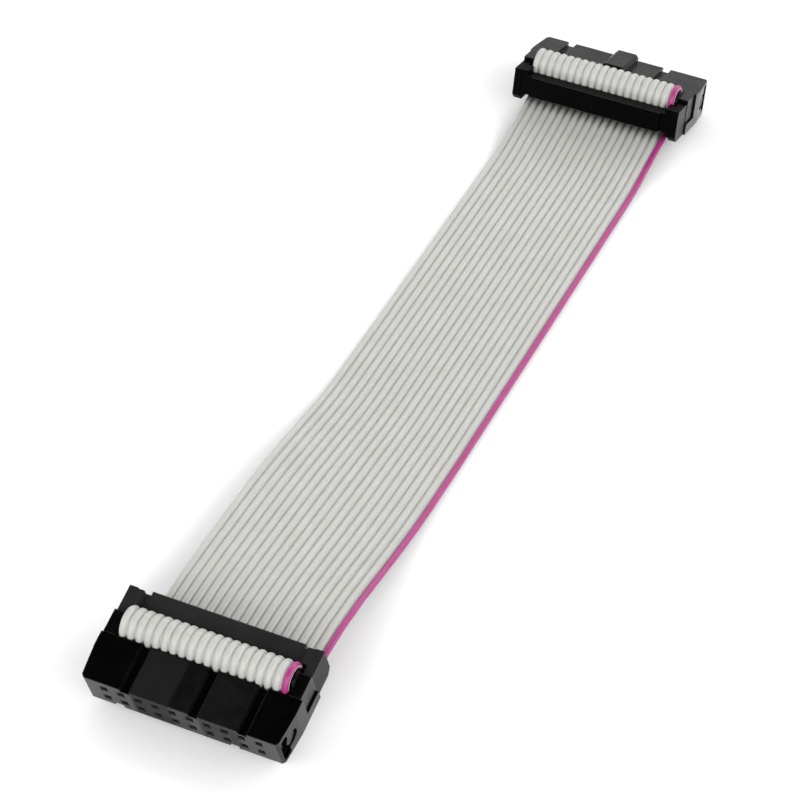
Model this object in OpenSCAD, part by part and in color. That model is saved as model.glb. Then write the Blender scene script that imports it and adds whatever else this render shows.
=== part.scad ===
/* [Ribbon] */
// Number of wires in the ribbon, and of contacts in each socket
ways = 20; // [14:2:24]
// Distance from one wire to the next
wire_pitch = 1.27; // [1.24:0.01:1.32]
// Diameter of the insulation round one wire
lobe_d = 0.96; // [0.84:0.02:1]
// Thickness of the web between two wires
web_t = 0.3; // [0.24:0.02:0.5]
// Diameter of one copper conductor
core_d = 0.32; // [0.26:0.02:0.4]
// Distance between the two mating faces
span = 159; // [120:1:240]

/* [Body] */
// Distance between the two rows of pin holes
row_gap = 2.54; // [2.4:0.02:2.8]
// Height of a body from its mating face to the wires
body_h = 7; // [6.8:0.1:8]
// Thickness of a body across its two rows
body_t = 6; // [5.8:0.1:7]
// Plastic beyond the centre of the last pin hole
end_l = 3.47; // [3.4:0.02:4]
// Side of a square pin entry
entry_w = 0.9; // [0.8:0.05:1.1]
// Chamfer at the two ends of the mating face
nose_c = 0.4; // [0.2:0.1:1]
// Draft of each end face, from the wires down to the mating face
draft = 0.4; // [0:0.1:0.6]
// Width of the polarising key
key_w = 4.1; // [3:0.1:5]
// Height of the key above the body's face
key_h = 1.2; // [0.8:0.1:1.5]
// Width of the grooves down the broad faces
groove_w = 1.4; // [1:0.1:1.8]
// Depth of those grooves
groove_d = 0.7; // [0.4:0.1:1]

/* [Cover] */
// Height of the cover's end blocks above the body
block_h = 3.5; // [3.3:0.05:4]
// Radius of the nose that the ribbon folds round
nose_r = 1.5; // [1.3:0.05:1.6]
// Height of the nose's centre above the body's middle plane
nose_w = 2.2; // [1.8:0.1:2.4]
// Step from the body's end face in to the cover's
cover_step = 0.3; // [0.1:0.05:0.5]
// Radius of the latch windows in the end faces
latch_r = 1.3; // [1:0.05:1.5]
// Height of the centre of the latch windows above the mating face
latch_v = 2.8; // [2.6:0.1:3.2]

/* [Strain relief] */
// Thickness of the bar over the ribbon
bar_h = 3.1; // [2.2:0.1:3.4]
// Depth of the bar on the folded side of the middle plane
bar_top = 1.6; // [1.3:0.1:2.3]
// Depth of the bar on the other side
bar_low = 1.7; // [1.2:0.1:2.2]
// Bevel along the bar's outer back edge
bar_c = 0.2; // [0.1:0.1:1]
// Height of the end wings
wing_h = 4.15; // [3.8:0.05:4.4]

/* [Contacts] */
// Thickness of the contact metal
metal_t = 0.25; // [0.2:0.01:0.28]
// Width of an insulation displacement fork
fork_w = 1.1; // [0.9:0.05:1.2]
// Depth to which each tine bites into its conductor
bite = 0.03; // [0.02:0.01:0.05]

/* [Pose] */
// Tilt of the near socket on the table
near_tilt = 18; // [10:1:24]
// Tilt of the far socket on the table
far_tilt = 13.5; // [10:0.5:20]

/* [Hidden] */
$fn = 48;
// Gap between the ribbon's lobes and the plastic that clamps them
seat = 0.02;
// Clearance round pieces that slide into one another
fit = 0.1;
// Gap between the ribbon's edge and the ends of its slot
edge_gap = 0.285;
per_row = ways / 2;
pin_pitch = 2 * wire_pitch;
last_pin = (per_row - 1) / 2 * pin_pitch;
half_l = last_pin + end_l;
half_t = body_t / 2;
lobe_r = lobe_d / 2;
core_r = core_d / 2;
ribbon_half = (ways - 1) / 2 * wire_pitch + lobe_r;
slot_half = ribbon_half + edge_gap;
cover_half = half_l - cover_step;
// Largest turn between two sections of the ribbon, and the bend that clears the nose
bend_step = 30;
fold_r = (nose_r + seat) / cos(bend_step / 2) + lobe_r;
// Heights above the mating face
slot_v = body_h + seat + lobe_r;
nose_v = slot_v + fold_r;
cover_v0 = nose_v - nose_r;
top_v = slot_v + 2 * fold_r;
bar_v0 = top_v + lobe_r + seat;
block_v1 = body_h + block_h;
crown_w = nose_w + fold_r;
// End of the ribbon, just inside the socket's face
cut_w = half_t - 0.1;
// Parting line between a body's post and the cover's end block
post_w = 1.2;
// Latch legs, measured inwards from the body's end face
wall_t = 1;
leg_t = 0.8;
leg_w = 2;
leg_v = 2.2;
// Recess below the latch window in each end face
recess_v = 2;
recess_u = 1;
leg_u1 = half_l - wall_t - fit;
leg_u0 = leg_u1 - leg_t;
// Fork, contact and cavity
fork_u = wire_pitch / 2;
fork_v0 = body_h - 1.1;
fork_v1 = cover_v0 + 0.96;
fork_s = core_r - bite;
plate_half = 1.05;
plate_v0 = body_h - 2.8;
cavity_half = 0.88;
cavity_w = 1;
beam_w = 0.9;
slack = 0.02;
key_v0 = 0.4;
key_c = 0.5;
// Heights of the two mating face centres above the table
near_z = max(half_t * cos(near_tilt),
    (half_t + key_h) * cos(near_tilt) - key_v0 * sin(near_tilt));
far_z = half_t * cos(far_tilt);
// The part is centred along Y on its two outermost edges
near_y = (half_t * sin(near_tilt) - half_t * sin(far_tilt) - span) / 2;
far_y = near_y + span;
lie_z = lobe_r;
// Grooves, as places along the plain face and along the key's face
grooves_plain = [-8.05, 2, 9.25];
grooves_key = [-9.95, 7.2];

// Places of the ribbon in the plane across its wires
function near_pt(v, w) = [near_y + v * cos(near_tilt) - w * sin(near_tilt),
    near_z + v * sin(near_tilt) + w * cos(near_tilt)];
function far_pt(v, w) = [far_y - v * cos(far_tilt) + w * sin(far_tilt),
    far_z + v * sin(far_tilt) + w * cos(far_tilt)];
// Corners of the ribbon's route, each with the radius of its bend
route = [
    [near_pt(slot_v, -cut_w), 0],
    [near_pt(slot_v, crown_w), fold_r],
    [near_pt(top_v, crown_w), fold_r],
    [near_pt(top_v, -4.3), 1.6],
    [[near_y + 23, 4.6], 60],
    [[near_y + 68, lie_z], 80],
    [[far_y - 27, lie_z], 40],
    [far_pt(top_v, -3), 1.2],
    [far_pt(top_v, crown_w), fold_r],
    [far_pt(slot_v, crown_w), fold_r],
    [far_pt(slot_v, -cut_w), 0]
];
last = len(route) - 1;
function heading(i) = let (d = route[i + 1][0] - route[i][0]) atan2(d[1], d[0]);
function norm180(a) = a > 180 ? a - 360 : (a < -180 ? a + 360 : a);
function turn(i) = norm180(heading(i) - heading(i - 1));
function tangent(i) = (i == 0 || i == last) ? 0 : route[i][1] * tan(abs(turn(i)) / 2);
function dir(a) = [cos(a), sin(a)];
function side_of(i) = turn(i) > 0 ? 1 : -1;
function wire_u(i) = (i - (ways - 1) / 2) * wire_pitch;
function pin_u(i) = (i - (per_row - 1) / 2) * pin_pitch;

// The socket's own frame: X along the rows, Y from the mating face to the wires,
// Z towards the side where the ribbon folds back
module at_near() {
    translate([0, near_y, near_z]) rotate([near_tilt, 0, 0]) children();
}

module at_far() {
    translate([0, far_y, far_z]) mirror([0, 1, 0]) rotate([far_tilt, 0, 0]) children();
}

// Extrudes an outline drawn along X and Y through the thickness z0 to z1
module slab(z0, z1) {
    translate([0, 0, z0]) linear_extrude(height = z1 - z0) children();
}

// Extrudes a section drawn as height and thickness along the length x0 to x1
module length_of(x0, x1) {
    translate([x0, 0, 0]) rotate([90, 0, 90]) linear_extrude(height = x1 - x0) children();
}

// Extrudes a pattern drawn as length and thickness through the height v0 to v1
module rise(v0, v1) {
    translate([0, v1, 0]) rotate([90, 0, 0]) linear_extrude(height = v1 - v0) children();
}

module both_ends() {
    children();
    mirror([1, 0, 0]) children();
}

module box(lo, hi) {
    translate(lo) cube(hi - lo);
}

// Ribbon: its section as columns of [place across, half thickness], two on the
// crown of each wire and one in the middle of each web
columns = concat([[wire_u(0) - lobe_r, lobe_r * 0.4]],
    [for (i = [0 : ways - 1], k = [-1 : 1]) if (k < 1 || i < ways - 1)
        k < 1 ? [wire_u(i) + (2 * k + 1) * lobe_r * 0.7, lobe_r]
            : [wire_u(i) + wire_pitch / 2, web_t / 2]],
    [[wire_u(ways - 1) + lobe_r, lobe_r * 0.4]]);
across = len(columns);
function open_before(i) = norm(route[i][0] - route[i - 1][0]) - tangent(i) - tangent(i - 1) > 0.001;
function arc_point(i, a) = route[i][0] - tangent(i) * dir(heading(i - 1))
    + route[i][1] * side_of(i) * (dir(heading(i - 1) + 90) - dir(a + 90));
// Places along the route, each with the direction in which the ribbon runs there
stations = concat([[route[0][0], heading(0)]],
    [for (i = [1 : last - 1]) let (n = max(2, ceil(abs(turn(i)) / bend_step)))
        for (k = [open_before(i) ? 0 : 1 : n]) let (a = heading(i - 1) + turn(i) * k / n)
            [arc_point(i, a), a]],
    [[route[last][0], heading(last - 1)]]);
function ring(s, up) = [for (c = columns) let (p = s[0] + up * c[1] * dir(s[1] + 90))
    [c[0], p[0], p[1]]];
function top_of(r, j) = 2 * across * r + j;
function low_of(r, j) = 2 * across * r + across + j;

module ribbon_cable() {
    n = len(stations) - 1;
    e = across - 1;
    color([0.82, 0.81, 0.78]) polyhedron(
        points = [for (s = stations) each concat(ring(s, 1), ring(s, -1))],
        faces = concat(
            [for (r = [0 : n - 1], j = [0 : e - 1])
                [top_of(r, j), top_of(r + 1, j), top_of(r + 1, j + 1), top_of(r, j + 1)]],
            [for (r = [0 : n - 1], j = [0 : e - 1])
                [low_of(r, j), low_of(r, j + 1), low_of(r + 1, j + 1), low_of(r + 1, j)]],
            [for (r = [0 : n - 1])
                [low_of(r, 0), low_of(r + 1, 0), top_of(r + 1, 0), top_of(r, 0)]],
            [for (r = [0 : n - 1])
                [low_of(r, e), top_of(r, e), top_of(r + 1, e), low_of(r + 1, e)]],
            [for (j = [0 : e - 1])
                [low_of(0, j), top_of(0, j), top_of(0, j + 1), low_of(0, j + 1)]],
            [for (j = [0 : e - 1])
                [low_of(n, j), low_of(n, j + 1), top_of(n, j + 1), top_of(n, j)]]));
}

// Contact: two spring beams for the pin, a plate that holds it in the body
// and a fork for the wire, which stands half a wire pitch to one side
module contact(s) {
    color([0.85, 0.68, 0.35]) {
        for (m = [0, 1]) mirror([m, 0, 0]) slab(-beam_w / 2, beam_w / 2)
            polygon([[0.2, 2], [0.42, 1.1], [0.64, 1.1], [0.44, 2],
                [0.84, plate_v0], [0.84, plate_v0 + 0.6], [0.6, plate_v0 + 0.6], [0.6, plate_v0]]);
        slab(-metal_t / 2, metal_t / 2) {
            translate([-plate_half, plate_v0]) square([2 * plate_half, fork_v0 - plate_v0]);
            translate([s * fork_u, 0])
                polygon([[-fork_w / 2, fork_v0 - 0.2], [fork_w / 2, fork_v0 - 0.2],
                    [fork_w / 2, fork_v1 - 0.4], [fork_w / 2 - 0.1, fork_v1],
                    [fork_w / 2 - 0.17, fork_v1], [fork_s, fork_v1 - 0.7],
                    [fork_s, body_h - 0.1], [-fork_s, body_h - 0.1],
                    [-fork_s, fork_v1 - 0.7], [0.17 - fork_w / 2, fork_v1],
                    [0.1 - fork_w / 2, fork_v1], [-fork_w / 2, fork_v1 - 0.4]]);
        }
    }
}

// Contact number i of a socket, counted along the ribbon from its plain edge
module place_contact(i) {
    s = (i % 2 == 1) ? -1 : 1;
    translate([pin_u(floor((i - 1) / 2)), 0, s * row_gap / 2]) contact(s);
}

// Square entries with their lead-ins, and the cavities behind them
module pin_cavities() {
    rise(-1, 1) for (i = [0 : per_row - 1], s = [-1, 1])
        translate([pin_u(i), s * row_gap / 2]) square(entry_w, center = true);
    intersection() {
        slab(-half_t, half_t) for (i = [0 : per_row - 1])
            translate([pin_u(i), 0]) lead_in();
        length_of(-half_l, half_l) for (s = [-1, 1])
            translate([0, s * row_gap / 2]) rotate(90) mirror([0, 1]) lead_in();
    }
    rise(0.9, body_h + 1) for (i = [0 : per_row - 1], s = [-1, 1])
        translate([pin_u(i), s * row_gap / 2]) square([2 * cavity_half, cavity_w], center = true);
    rise(plate_v0, body_h + 1) for (i = [0 : per_row - 1], s = [-1, 1])
        translate([pin_u(i), s * row_gap / 2])
            square([2 * (plate_half + slack), metal_t + 2 * slack], center = true);
    rise(fork_v0 - 0.3, body_h + 1) for (i = [0 : per_row - 1], s = [-1, 1])
        translate([pin_u(i) + s * fork_u, s * row_gap / 2])
            square([fork_w + 2 * slack, metal_t + 2 * slack], center = true);
}

// Section of the chamfer round a pin entry, with its mouth on the mating face
module lead_in() {
    c = 0.15;
    polygon([[-entry_w / 2 - c - 0.1, -0.1], [entry_w / 2 + c + 0.1, -0.1],
        [entry_w / 2, c], [-entry_w / 2, c]]);
}

// The body's outline seen on its broad face
module body_outline() {
    x0 = half_l - draft;
    polygon([[-x0 + nose_c, 0], [x0 - nose_c, 0], [x0, nose_c], [half_l, body_h * 0.7],
        [half_l, body_h], [-half_l, body_h], [-half_l, body_h * 0.7], [-x0, nose_c]]);
}

// Latch window: arched towards the cover, open to the recess below it
module latch_window() {
    translate([latch_v, 0]) circle(r = latch_r);
    translate([recess_v - 0.1, -latch_r]) square([latch_v - recess_v + 0.1, 2 * latch_r]);
}

module body_block() {
    difference() {
        union() {
            slab(-half_t, half_t) body_outline();
            rise(key_v0, body_h)
                polygon([[-key_w / 2, -half_t + 0.5], [-key_w / 2, key_c - half_t - key_h],
                    [key_c - key_w / 2, -half_t - key_h], [key_w / 2 - key_c, -half_t - key_h],
                    [key_w / 2, key_c - half_t - key_h], [key_w / 2, -half_t + 0.5]]);
        }
        pin_cavities();
        for (g = grooves_plain) translate([g - groove_w / 2, -1, half_t - groove_d])
            cube([groove_w, body_h + 2, groove_d + 1]);
        for (g = grooves_key) translate([g - groove_w / 2, -1, -half_t - 1])
            cube([groove_w, body_h + 2, groove_d + 1]);
        both_ends() box([half_l - recess_u, 0.4, -half_t + 0.5], [half_l + 1, recess_v, 2.2]);
    }
}

module body() {
    difference() {
        children();
        both_ends() {
            box([leg_u0 - fit, leg_v, -leg_w / 2 - fit], [leg_u1 + fit, body_h + 1, leg_w / 2 + fit]);
            length_of(leg_u1 - 0.15, half_l + 1) latch_window();
        }
    }
    both_ends() box([half_l - 1.7, body_h - 0.5, -half_t], [half_l, block_v1, -post_w]);
}

module near_body() {
    color([0.12, 0.12, 0.13]) at_near() body() body_block();
}

module far_body() {
    color([0.12, 0.12, 0.13]) at_far() body() mirror([0, 0, 1]) body_block();
}

// Cover: a bar with a round nose, an end block at each side and latch legs,
// with slots for the fork tips on the side f
module cover(f) {
    difference() {
        union() {
            length_of(-slot_half, slot_half) {
                translate([cover_v0, -cut_w]) square([2 * nose_r, cut_w + nose_w]);
                translate([nose_v, nose_w]) circle(r = nose_r);
            }
            both_ends() {
                box([slot_half, body_h, -post_w + fit], [cover_half, block_v1, half_t + 0.1]);
                box([leg_u0, leg_v + 0.05, -leg_w / 2], [leg_u1, body_h + 1, leg_w / 2]);
                length_of(leg_u1 - 0.1, leg_u1 + 0.75) translate([latch_v, 0])
                    circle(r = latch_r - 0.2);
            }
        }
        rise(cover_v0 - 1, fork_v1 + fit) for (i = [0 : per_row - 1], s = [-1, 1])
            translate([pin_u(i) + s * f * fork_u, s * row_gap / 2])
                square([fork_w + 2 * fit, metal_t + 2 * fit], center = true);
        both_ends() {
            box([slot_half + 0.4, block_v1 - 1.9, -0.7], [slot_half + 1.4, block_v1 + 1, 1.5]);
            box([cover_half - 0.5, body_h - 1, -post_w - 1], [cover_half + 1, body_h + 0.15, 1.1]);
        }
    }
}

module near_cover() {
    color([0.14, 0.14, 0.15]) at_near() cover(1);
}

module far_cover() {
    color([0.14, 0.14, 0.15]) at_far() cover(-1);
}

// Strain relief: a bar over the ribbon, with wings that clip into the cover
module strain_relief() {
    bar_v1 = bar_v0 + bar_h;
    wing_v1 = block_v1 + wing_h;
    difference() {
        union() {
            length_of(-slot_half, slot_half)
                polygon([[bar_v0, -bar_low], [bar_v1 - 0.2, -bar_low], [bar_v1, 0.2 - bar_low],
                    [bar_v1, bar_top - bar_c], [bar_v1 - bar_c, bar_top],
                    [bar_v0 + 0.35, bar_top], [bar_v0, bar_top - 0.35]]);
            both_ends() {
                rise(bar_v0, wing_v1)
                    polygon([[slot_half - 0.6, -bar_low + 0.3], [slot_half + 0.3, -bar_low - 0.8],
                        [slot_half + 0.3, -half_t - 0.1], [cover_half - 0.1, -half_t - 0.1],
                        [cover_half - 0.1, half_t - 0.5], [slot_half - 0.6, half_t - 0.5]]);
                box([slot_half + 0.3, block_v1, -half_t - 0.1],
                    [cover_half - 0.1, bar_v0 + 0.1, half_t - 0.5]);
                box([slot_half + 0.5, block_v1 - 1.8, -0.6], [slot_half + 1.3, block_v1 + 0.5, 1.4]);
            }
        }
        both_ends() {
            box([slot_half - 1.4, bar_v1 - 0.7, -half_t - 1], [slot_half + 0.4, bar_v1 + 1, half_t + 1]);
            length_of(slot_half, half_l) polygon([[wing_v1 - 1, -half_t - 0.2],
                [wing_v1 + 0.1, -half_t - 0.2], [wing_v1 + 0.1, -half_t + 0.9]]);
        }
    }
}

module near_strain_relief() {
    color([0.13, 0.13, 0.14]) at_near() strain_relief();
}

module far_strain_relief() {
    color([0.13, 0.13, 0.14]) at_far() strain_relief();
}

near_body();
near_cover();
near_strain_relief();
far_body();
far_cover();
far_strain_relief();
ribbon_cable();
for (i = [1 : ways]) {
    at_near() place_contact(i);
    at_far() mirror([0, 0, 1]) place_contact(i);
}
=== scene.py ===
import math

import bpy
from mathutils import Matrix, Vector


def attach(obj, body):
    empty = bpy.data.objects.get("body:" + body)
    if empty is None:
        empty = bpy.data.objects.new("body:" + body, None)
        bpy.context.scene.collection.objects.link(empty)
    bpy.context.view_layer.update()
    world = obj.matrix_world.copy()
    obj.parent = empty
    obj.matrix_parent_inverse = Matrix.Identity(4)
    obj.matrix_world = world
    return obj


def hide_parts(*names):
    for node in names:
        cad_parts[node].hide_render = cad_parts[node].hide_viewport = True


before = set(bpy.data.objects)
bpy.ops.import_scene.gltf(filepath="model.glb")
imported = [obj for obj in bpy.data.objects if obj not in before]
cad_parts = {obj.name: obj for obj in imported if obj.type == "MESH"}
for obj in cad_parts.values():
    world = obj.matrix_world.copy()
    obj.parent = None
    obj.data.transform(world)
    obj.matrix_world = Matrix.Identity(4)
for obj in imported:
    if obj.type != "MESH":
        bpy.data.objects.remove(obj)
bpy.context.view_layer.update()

MM = 0.001
scene = bpy.context.scene

# Camera, solved on the pin grid and the wire pitch
# Focal length and principal point in pixels of the frame, position in mm
FRAME_PX, SENSOR = 800.0, 36.0
FOCAL, CENTRE_X, CENTRE_Y = 2879.6, 494.7, 416.6
CAM_POS = (130.11, -294.73, 292.78)
# Rows of the camera's rotation: right, down and ahead
CAM_ROWS = (
    (0.91745, 0.39706, 0.02497),
    (0.2881, -0.61979, -0.72997),
    (-0.27437, 0.67691, -0.68302),
)


def make_camera():
    data = bpy.data.cameras.new("camera")
    data.sensor_width = SENSOR
    data.lens = FOCAL / FRAME_PX * SENSOR
    data.shift_x = (FRAME_PX / 2 - CENTRE_X) / FRAME_PX
    data.shift_y = (CENTRE_Y - FRAME_PX / 2) / FRAME_PX
    data.clip_start = 0.01
    data.clip_end = 20.0
    cam = bpy.data.objects.new("camera", data)
    scene.collection.objects.link(cam)
    right, down, ahead = (Vector(r) for r in CAM_ROWS)
    m = Matrix((right, -down, -ahead)).transposed().to_4x4()
    m.translation = Vector(CAM_POS) * MM
    cam.matrix_world = m
    scene.camera = cam


make_camera()


def sin(deg):
    return math.sin(math.radians(deg))


def cos(deg):
    return math.cos(math.radians(deg))


# Sizes of part.scad that the ribbon's route depends on, in mm and degrees
WAYS, PITCH, LOBE_R = 20, 1.27, 0.48
BODY_H, HALF_T, KEY_H, KEY_V0 = 7.0, 3.0, 1.2, 0.4
SEAT, NOSE_R, NOSE_W = 0.02, 1.5, 2.2
NEAR_TILT, FAR_TILT, SPAN = 18.0, 13.5, 159.0
SLOT_V = BODY_H + SEAT + LOBE_R
FOLD_R = (NOSE_R + SEAT) / cos(15) + LOBE_R
TOP_V = SLOT_V + 2 * FOLD_R
CROWN_W = NOSE_W + FOLD_R
CUT_W = HALF_T - 0.1
NEAR_Z = max(HALF_T * cos(NEAR_TILT),
             (HALF_T + KEY_H) * cos(NEAR_TILT) - KEY_V0 * sin(NEAR_TILT))
FAR_Z = HALF_T * cos(FAR_TILT)
NEAR_Y = (HALF_T * sin(NEAR_TILT) - HALF_T * sin(FAR_TILT) - SPAN) / 2
FAR_Y = NEAR_Y + SPAN

# Sizes of the finer ribbon, in mm
WEB_T = 0.2
LOBE_HALF_WIDE = 0.555   # half width of a lobe, more than its half height
LOBE_COLUMNS = 9
EDGE_OUT, EDGE_HALF_T = 0.008, 0.03
STRIPE = (-0.56, 0.45)   # how far the stripe reaches from the last wire's centre
STEP_DEG, STEP_MM = 7.5, 2.0
# Twist of the free run: where it is strongest, its reach, and its height at the edge
TWIST_AT, TWIST_REACH, TWIST_UP, HALF_WIDTH = 47.0, 16.0, 1.3, 12.5


def near_pt(v, w):
    return (NEAR_Y + v * cos(NEAR_TILT) - w * sin(NEAR_TILT),
            NEAR_Z + v * sin(NEAR_TILT) + w * cos(NEAR_TILT))


def far_pt(v, w):
    return (FAR_Y - v * cos(FAR_TILT) + w * sin(FAR_TILT),
            FAR_Z + v * sin(FAR_TILT) + w * cos(FAR_TILT))


# Corners of the ribbon's route as in part.scad, each with the radius of its bend
ROUTE = [
    (near_pt(SLOT_V, -CUT_W), 0.0),
    (near_pt(SLOT_V, CROWN_W), FOLD_R),
    (near_pt(TOP_V, CROWN_W), FOLD_R),
    (near_pt(TOP_V, -4.3), 1.6),
    ((NEAR_Y + 23, 4.6), 60.0),
    ((NEAR_Y + 68, LOBE_R), 80.0),
    ((FAR_Y - 27, LOBE_R), 40.0),
    (far_pt(TOP_V, -3.0), 1.2),
    (far_pt(TOP_V, CROWN_W), FOLD_R),
    (far_pt(SLOT_V, CROWN_W), FOLD_R),
    (far_pt(SLOT_V, -CUT_W), 0.0),
]


def along(route, step_deg, step_mm):
    """Points of the filleted route, each with its heading in degrees."""
    head = [math.degrees(math.atan2(b[0][1] - a[0][1], b[0][0] - a[0][0]))
            for a, b in zip(route, route[1:])]
    out = []

    def add(y, z, a):
        if not out or math.hypot(out[-1][0] - y, out[-1][1] - z) > 1e-4:
            out.append((y, z, a))

    pos = route[0][0]
    for i in range(1, len(route)):
        (cy, cz), r = route[i]
        a0 = head[i - 1]
        turn = 0.0 if i == len(route) - 1 else (head[i] - a0 + 180) % 360 - 180
        t = r * math.tan(math.radians(abs(turn) / 2))
        end = (cy - t * cos(a0), cz - t * sin(a0))
        n = max(1, math.ceil(math.hypot(end[0] - pos[0], end[1] - pos[1]) / step_mm))
        for k in range(n + 1):
            add(pos[0] + (end[0] - pos[0]) * k / n, pos[1] + (end[1] - pos[1]) * k / n, a0)
        if abs(turn) > 1e-6:
            s = 1 if turn > 0 else -1
            c = (end[0] + r * s * cos(a0 + 90), end[1] + r * s * sin(a0 + 90))
            n = max(2, math.ceil(abs(turn) / step_deg))
            for k in range(n + 1):
                a = a0 + turn * k / n
                add(c[0] - r * s * cos(a + 90), c[1] - r * s * sin(a + 90), a)
            pos = (out[-1][0], out[-1][1])
    return out


def lift(y, z, u):
    """Slight twist of the free run, which never goes below the floor."""
    s = (y - NEAR_Y - TWIST_AT) / TWIST_REACH
    return max(-TWIST_UP * math.exp(-s * s) * u / HALF_WIDTH, min(0.0, LOBE_R - z))


def ribbon_columns():
    """Columns across the section: place across and half thickness."""
    cols = []
    first = math.degrees(math.asin(WEB_T / 2 / LOBE_R))
    for i in range(WAYS):
        mid = (i - (WAYS - 1) / 2) * PITCH
        for k in range(LOBE_COLUMNS):
            a = first + (180 - 2 * first) * k / (LOBE_COLUMNS - 1)
            side = -1 if a < 90 else 1
            outer = (i == 0 and side < 0) or (i == WAYS - 1 and side > 0)
            reach = LOBE_R if outer else LOBE_HALF_WIDE
            cols.append((mid + side * reach * abs(cos(a)), LOBE_R * sin(a)))
    left = (cols[0][0] - EDGE_OUT, EDGE_HALF_T)
    right = (cols[-1][0] + EDGE_OUT, EDGE_HALF_T)
    return [left] + cols + [right]


def make_ribbon():
    """The ribbon's mesh, the path of its middle line and its length, in metres."""
    line = along(ROUTE, STEP_DEG, STEP_MM)
    cols = ribbon_columns()
    m = len(cols)
    last_wire = (WAYS - 1) / 2 * PITCH
    verts, faces, mats = [], [], []
    for y, z, a in line:
        for side in (1, -1):
            for u, h in cols:
                yy, zz = y - side * h * sin(a), z + side * h * cos(a)
                verts.append((u * MM, yy * MM, (zz + lift(y, z, u)) * MM))

    def top(r, j):
        return 2 * m * r + j

    def low(r, j):
        return 2 * m * r + m + j

    for r in range(len(line) - 1):
        for j in range(m - 1):
            mid = (cols[j][0] + cols[j + 1][0]) / 2 - last_wire
            stripe = 1 if STRIPE[0] < mid < STRIPE[1] else 0
            faces.append((top(r, j), top(r, j + 1), top(r + 1, j + 1), top(r + 1, j)))
            faces.append((low(r, j), low(r + 1, j), low(r + 1, j + 1), low(r, j + 1)))
            mats += [stripe, stripe]
        faces.append((low(r, 0), top(r, 0), top(r + 1, 0), low(r + 1, 0)))
        faces.append((low(r, m - 1), low(r + 1, m - 1), top(r + 1, m - 1), top(r, m - 1)))
        mats += [0, 0]
    n = len(line) - 1
    for j in range(m - 1):
        faces.append((low(0, j), low(0, j + 1), top(0, j + 1), top(0, j)))
        faces.append((low(n, j), top(n, j), top(n, j + 1), low(n, j + 1)))
        mats += [0, 0]
    mesh = bpy.data.meshes.new("ribbon")
    mesh.from_pydata(verts, [], faces)
    mesh.polygons.foreach_set("material_index", mats)
    mesh.polygons.foreach_set("use_smooth", [True] * len(faces))
    mesh.update()
    obj = bpy.data.objects.new("ribbon", mesh)
    scene.collection.objects.link(obj)
    path = [(0.0, y * MM, z * MM) for y, z, _ in line]
    length = sum(math.dist(p, q) for p, q in zip(path, path[1:]))
    return obj, path, length


# Shader helpers: t is a node tree, and each returns the socket that it makes
def node(t, kind, operation=None, **inputs):
    """A new node with constant inputs, an underscore standing for a space."""
    n = t.nodes.new(kind)
    if operation:
        n.operation = operation
    for name, value in inputs.items():
        n.inputs[name.replace("_", " ")].default_value = value
    return n


def nodes_of(name):
    mat = bpy.data.materials.new(name)
    mat.use_nodes = True
    t = mat.node_tree
    t.nodes.clear()
    out = node(t, "ShaderNodeOutputMaterial")
    bsdf = node(t, "ShaderNodeBsdfPrincipled")
    t.links.new(bsdf.outputs[0], out.inputs[0])
    coord = node(t, "ShaderNodeTexCoord")
    return mat, t, bsdf, coord


def noise(t, coord, scale, detail=4.0, roughness=0.55):
    n = node(t, "ShaderNodeTexNoise", Scale=scale, Detail=detail, Roughness=roughness)
    t.links.new(coord.outputs["Object"], n.inputs["Vector"])
    return n.outputs["Fac"]


def ramp(t, fac, stops):
    r = node(t, "ShaderNodeValToRGB")
    e = r.color_ramp.elements
    e[0].position, e[0].color = stops[0][0], (*stops[0][1], 1)
    e[1].position, e[1].color = stops[-1][0], (*stops[-1][1], 1)
    for place, colour in stops[1:-1]:
        e.new(place).color = (*colour, 1)
    t.links.new(fac, r.inputs[0])
    return r.outputs["Color"]


def blotches(t, fac, dark, light):
    """Soft blotches between two colours."""
    return ramp(t, fac, [(0.3, dark), (0.7, light)])


def remap(t, value, lo, hi, new_lo=0.0, new_hi=1.0):
    m = node(t, "ShaderNodeMapRange", From_Min=lo, From_Max=hi, To_Min=new_lo, To_Max=new_hi)
    t.links.new(value, m.inputs["Value"])
    return m.outputs["Result"]


def axis(t, vector, name):
    split = node(t, "ShaderNodeSeparateXYZ")
    t.links.new(vector, split.inputs[0])
    return split.outputs[name]


def times(t, a, b, kind="ShaderNodeMath"):
    n = node(t, kind, "MULTIPLY")
    t.links.new(a, n.inputs[0])
    t.links.new(b, n.inputs[1])
    return n.outputs[0]


def add_share(t, share, more, base, kind="ShaderNodeMath"):
    """Adds to a value or colour the share of a constant."""
    n = node(t, kind, "MULTIPLY_ADD")
    t.links.new(share, n.inputs[0])
    n.inputs[1].default_value = more
    t.links.new(base, n.inputs[2])
    return n.outputs[0]


def bump(t, fac, strength, distance, bevel=0.0):
    b = node(t, "ShaderNodeBump", Strength=strength, Distance=distance)
    t.links.new(fac, b.inputs["Height"])
    if bevel:
        v = node(t, "ShaderNodeBevel", Radius=bevel)
        v.samples = 6
        t.links.new(v.outputs[0], b.inputs["Normal"])
    return b.outputs[0]


def painted_gap_shade(t, colour):
    """Painted shade: dims a colour by ambient occlusion, deep in the gaps between the wires and
    under the bars.
    """
    shade = node(t, "ShaderNodeAmbientOcclusion", Distance=0.006)
    shade.samples = 12
    scale = node(t, "ShaderNodeVectorMath", "SCALE")
    t.links.new(colour, scale.inputs[0])
    t.links.new(remap(t, shade.outputs["AO"], 0.13, 0.46, 0.08, 1.0), scale.inputs["Scale"])
    return scale.outputs["Vector"]


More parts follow.
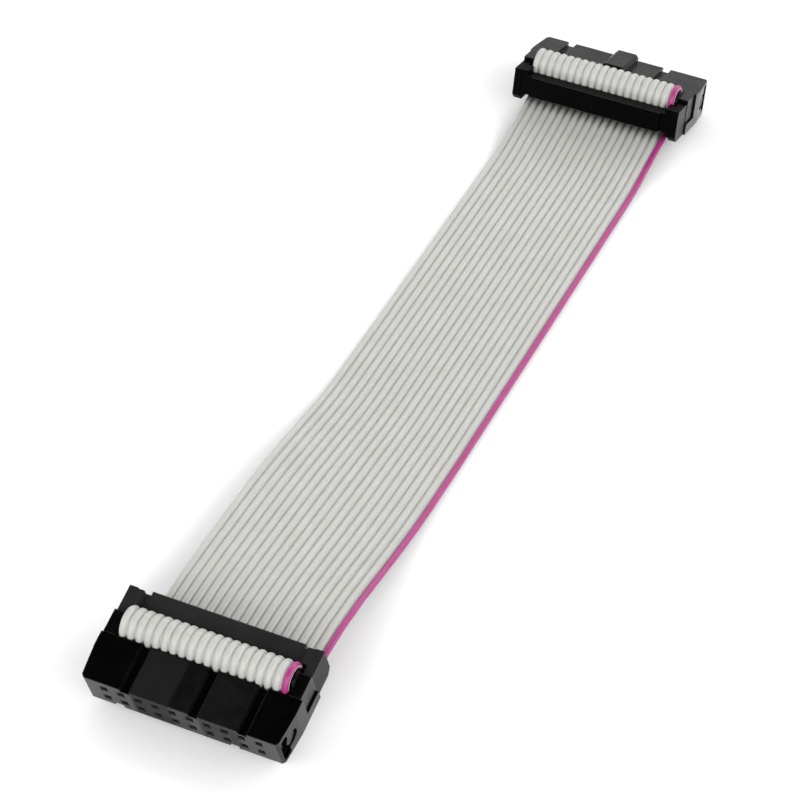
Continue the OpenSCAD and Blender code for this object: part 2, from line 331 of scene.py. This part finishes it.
def pvc(name, dark, light, rough):
    """Insulation: faint blotches, fine grain, painted shade in the gaps and a little light
    inside.
    """
    mat, t, bsdf, coord = nodes_of(name)
    colour = blotches(t, noise(t, coord, 260.0, 5.0), dark, light)
    # Base colour with painted shade from ambient occlusion in the gaps between the wires and
    # under the bars
    t.links.new(painted_gap_shade(t, colour), bsdf.inputs["Base Color"])
    worn = remap(t, noise(t, coord, 900.0), 0.0, 1.0, rough - 0.06, rough + 0.08)
    t.links.new(worn, bsdf.inputs["Roughness"])
    grain = bump(t, noise(t, coord, 2600.0, 3.0), strength=0.15, distance=0.00004)
    t.links.new(grain, bsdf.inputs["Normal"])
    bsdf.inputs["Specular IOR Level"].default_value = 0.45
    bsdf.inputs["Subsurface Weight"].default_value = 0.08
    bsdf.inputs["Subsurface Radius"].default_value = (0.0006, 0.0005, 0.0004)
    return mat


def panel(t, coord, base, lo, hi, more):
    """Adds to a value between two places along X, where the mould is less polished."""
    x, soft = axis(t, coord.outputs["Object"], "X"), 0.0002
    both = times(t, remap(t, x, lo - soft, lo + soft),
                 remap(t, x, hi - soft, hi + soft, 1.0, 0.0))
    return add_share(t, both, more, base)


def paint_end_light(t, coord, colour, more):
    """Painted light: lightens the colour of the right end face, for the light that face
    catches.
    """
    facing = remap(t, axis(t, coord.outputs["Normal"], "X"), 0.6, 0.9)
    outside = remap(t, axis(t, coord.outputs["Object"], "X"), 0.0141, 0.0143)
    share = times(t, facing, outside)
    return add_share(t, share, (more, more, more), colour, "ShaderNodeVectorMath")


def black_plastic(name, level, rough, gloss, panels=(), painted_end_light=0.0):
    """Moulded plastic: panels are (from, to, added roughness) along X in mm."""
    mat, t, bsdf, coord = nodes_of(name)
    a, b = level * 0.75, level * 1.35
    colour = blotches(t, noise(t, coord, 180.0, 4.0), (a, a, a * 1.02), (b, b, b * 1.03))
    # Painted light on the right end face, which faces +X
    if painted_end_light:
        colour = paint_end_light(t, coord, colour, painted_end_light)
    t.links.new(colour, bsdf.inputs["Base Color"])
    worn = remap(t, noise(t, coord, 300.0, 6.0, 0.7), 0.0, 1.0, rough - 0.16, rough + 0.2)
    for lo, hi, more in panels:
        worn = panel(t, coord, worn, lo * MM, hi * MM, more)
    t.links.new(worn, bsdf.inputs["Roughness"])
    grain = bump(t, noise(t, coord, 3200.0, 3.0), strength=0.3, distance=0.00003, bevel=0.00016)
    t.links.new(grain, bsdf.inputs["Normal"])
    bsdf.inputs["Specular IOR Level"].default_value = gloss
    return mat


def plated_metal(name):
    mat, t, bsdf, coord = nodes_of(name)
    colour = blotches(t, noise(t, coord, 700.0), (0.62, 0.45, 0.2), (0.8, 0.6, 0.3))
    t.links.new(colour, bsdf.inputs["Base Color"])
    worn = remap(t, noise(t, coord, 1500.0), 0.0, 1.0, 0.22, 0.4)
    t.links.new(worn, bsdf.inputs["Roughness"])
    grain = bump(t, noise(t, coord, 4000.0), strength=0.1, distance=0.00001)
    t.links.new(grain, bsdf.inputs["Normal"])
    bsdf.inputs["Metallic"].default_value = 1.0
    return mat


def dress(name, mat):
    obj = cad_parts[name]
    obj.data.materials.clear()
    obj.data.materials.append(mat)


grey = pvc("pvc_grey", (0.373, 0.375, 0.353), (0.401, 0.403, 0.381), rough=0.38)
magenta = pvc("pvc_magenta", (0.262, 0.017, 0.13), (0.305, 0.028, 0.163), rough=0.36)
# Two copies of one plastic: the near body's base is set darker as painted shade, and the far
# body's right end gets painted light
body_black_painted_light_and_shade = {
    "near": black_plastic("body_black_near", level=0.0005, rough=0.18, gloss=0.2,
                          panels=[(-7.35, -1.6, 0.35), (-1.6, 1.3, 0.16), (2.7, 8.55, 0.22)]),
    "far": black_plastic("body_black_far", level=0.0012, rough=0.24, gloss=0.22, painted_end_light=0.05),
}
cover_black = black_plastic("cover_black", level=0.0005, rough=0.26, gloss=0.2)
# Two copies of one plastic: the near bar's base is set much lighter as painted light for the
# light its upturned faces catch, and the far bar's right end gets painted light
relief_black_painted_light = {
    "near": black_plastic("relief_black_near", level=0.011, rough=0.42, gloss=0.12),
    "far": black_plastic("relief_black_far", level=0.0005, rough=0.3, gloss=0.032, painted_end_light=0.05),
}
metal = plated_metal("contact_metal")

ribbon, path, length = make_ribbon()
ribbon.data.materials.append(grey)
ribbon.data.materials.append(magenta)
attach(ribbon, "root")
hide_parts("ribbon_cable")

for end in ("near", "far"):
    dress(end + "_body", body_black_painted_light_and_shade[end])
    dress(end + "_cover", cover_black)
    dress(end + "_strain_relief", relief_black_painted_light[end])
    for i in range(1, WAYS + 1):
        dress(f"{end}_contact_{i:02d}", metal)


def make_floor():
    bpy.ops.mesh.primitive_plane_add(size=4.0, location=(0, 0, 0))
    obj = bpy.context.object
    obj.name = "floor"
    mat, t, bsdf, coord = nodes_of("floor_white")
    colour = blotches(t, noise(t, coord, 3.0, 2.0), (0.81, 0.81, 0.82), (0.85, 0.85, 0.85))
    t.links.new(colour, bsdf.inputs["Base Color"])
    bsdf.inputs["Roughness"].default_value = 0.55
    obj.data.materials.append(mat)


def area(name, pos, target, size, power):
    data = bpy.data.lights.new(name, "AREA")
    data.shape = "RECTANGLE"
    data.size, data.size_y = size
    data.energy = power
    obj = bpy.data.objects.new(name, data)
    scene.collection.objects.link(obj)
    obj.location = pos
    obj.rotation_euler = (Vector(target) - Vector(pos)).to_track_quat("-Z", "Y").to_euler()


make_floor()
area("key", pos=(0.8, 0.2, 0.45), target=(0, 0, 0), size=(0.6, 0.5), power=0.8)

# Brightness of the surround from below to above, and from front to back and left to right
BY_HEIGHT = [(0.0, 0.12), (0.2, 0.15), (0.36, 0.95), (0.62, 1.0), (0.76, 0.01), (1.0, 0.01)]
BY_DEPTH = [(0.0, 1.45), (0.35, 1.3), (0.65, 0.97), (1.0, 0.97)]
BY_SIDE = [(0.0, 0.78), (1.0, 1.22)]
SURROUND_STRENGTH = 3.2


def surround():
    """A light tent: bright walls, a dim horizon and an open, dark top."""
    world = bpy.data.worlds.new("world")
    world.use_nodes = True
    t = world.node_tree
    coord = node(t, "ShaderNodeTexCoord")
    split = node(t, "ShaderNodeSeparateXYZ")
    t.links.new(coord.outputs["Generated"], split.inputs[0])

    def by(value, levels):
        return ramp(t, value, [(place, (level,) * 3) for place, level in levels])

    height = by(split.outputs["Z"], BY_HEIGHT)
    depth = by(remap(t, split.outputs["Y"], -1.0, 1.0), BY_DEPTH)
    side = by(remap(t, split.outputs["X"], -1.0, 1.0), BY_SIDE)
    vector = "ShaderNodeVectorMath"
    full = times(t, times(t, height, depth, vector), side, vector)
    back = t.nodes["Background"]
    t.links.new(full, back.inputs["Color"])
    back.inputs["Strength"].default_value = SURROUND_STRENGTH
    scene.world = world


surround()
scene.view_settings.view_transform = "Standard"
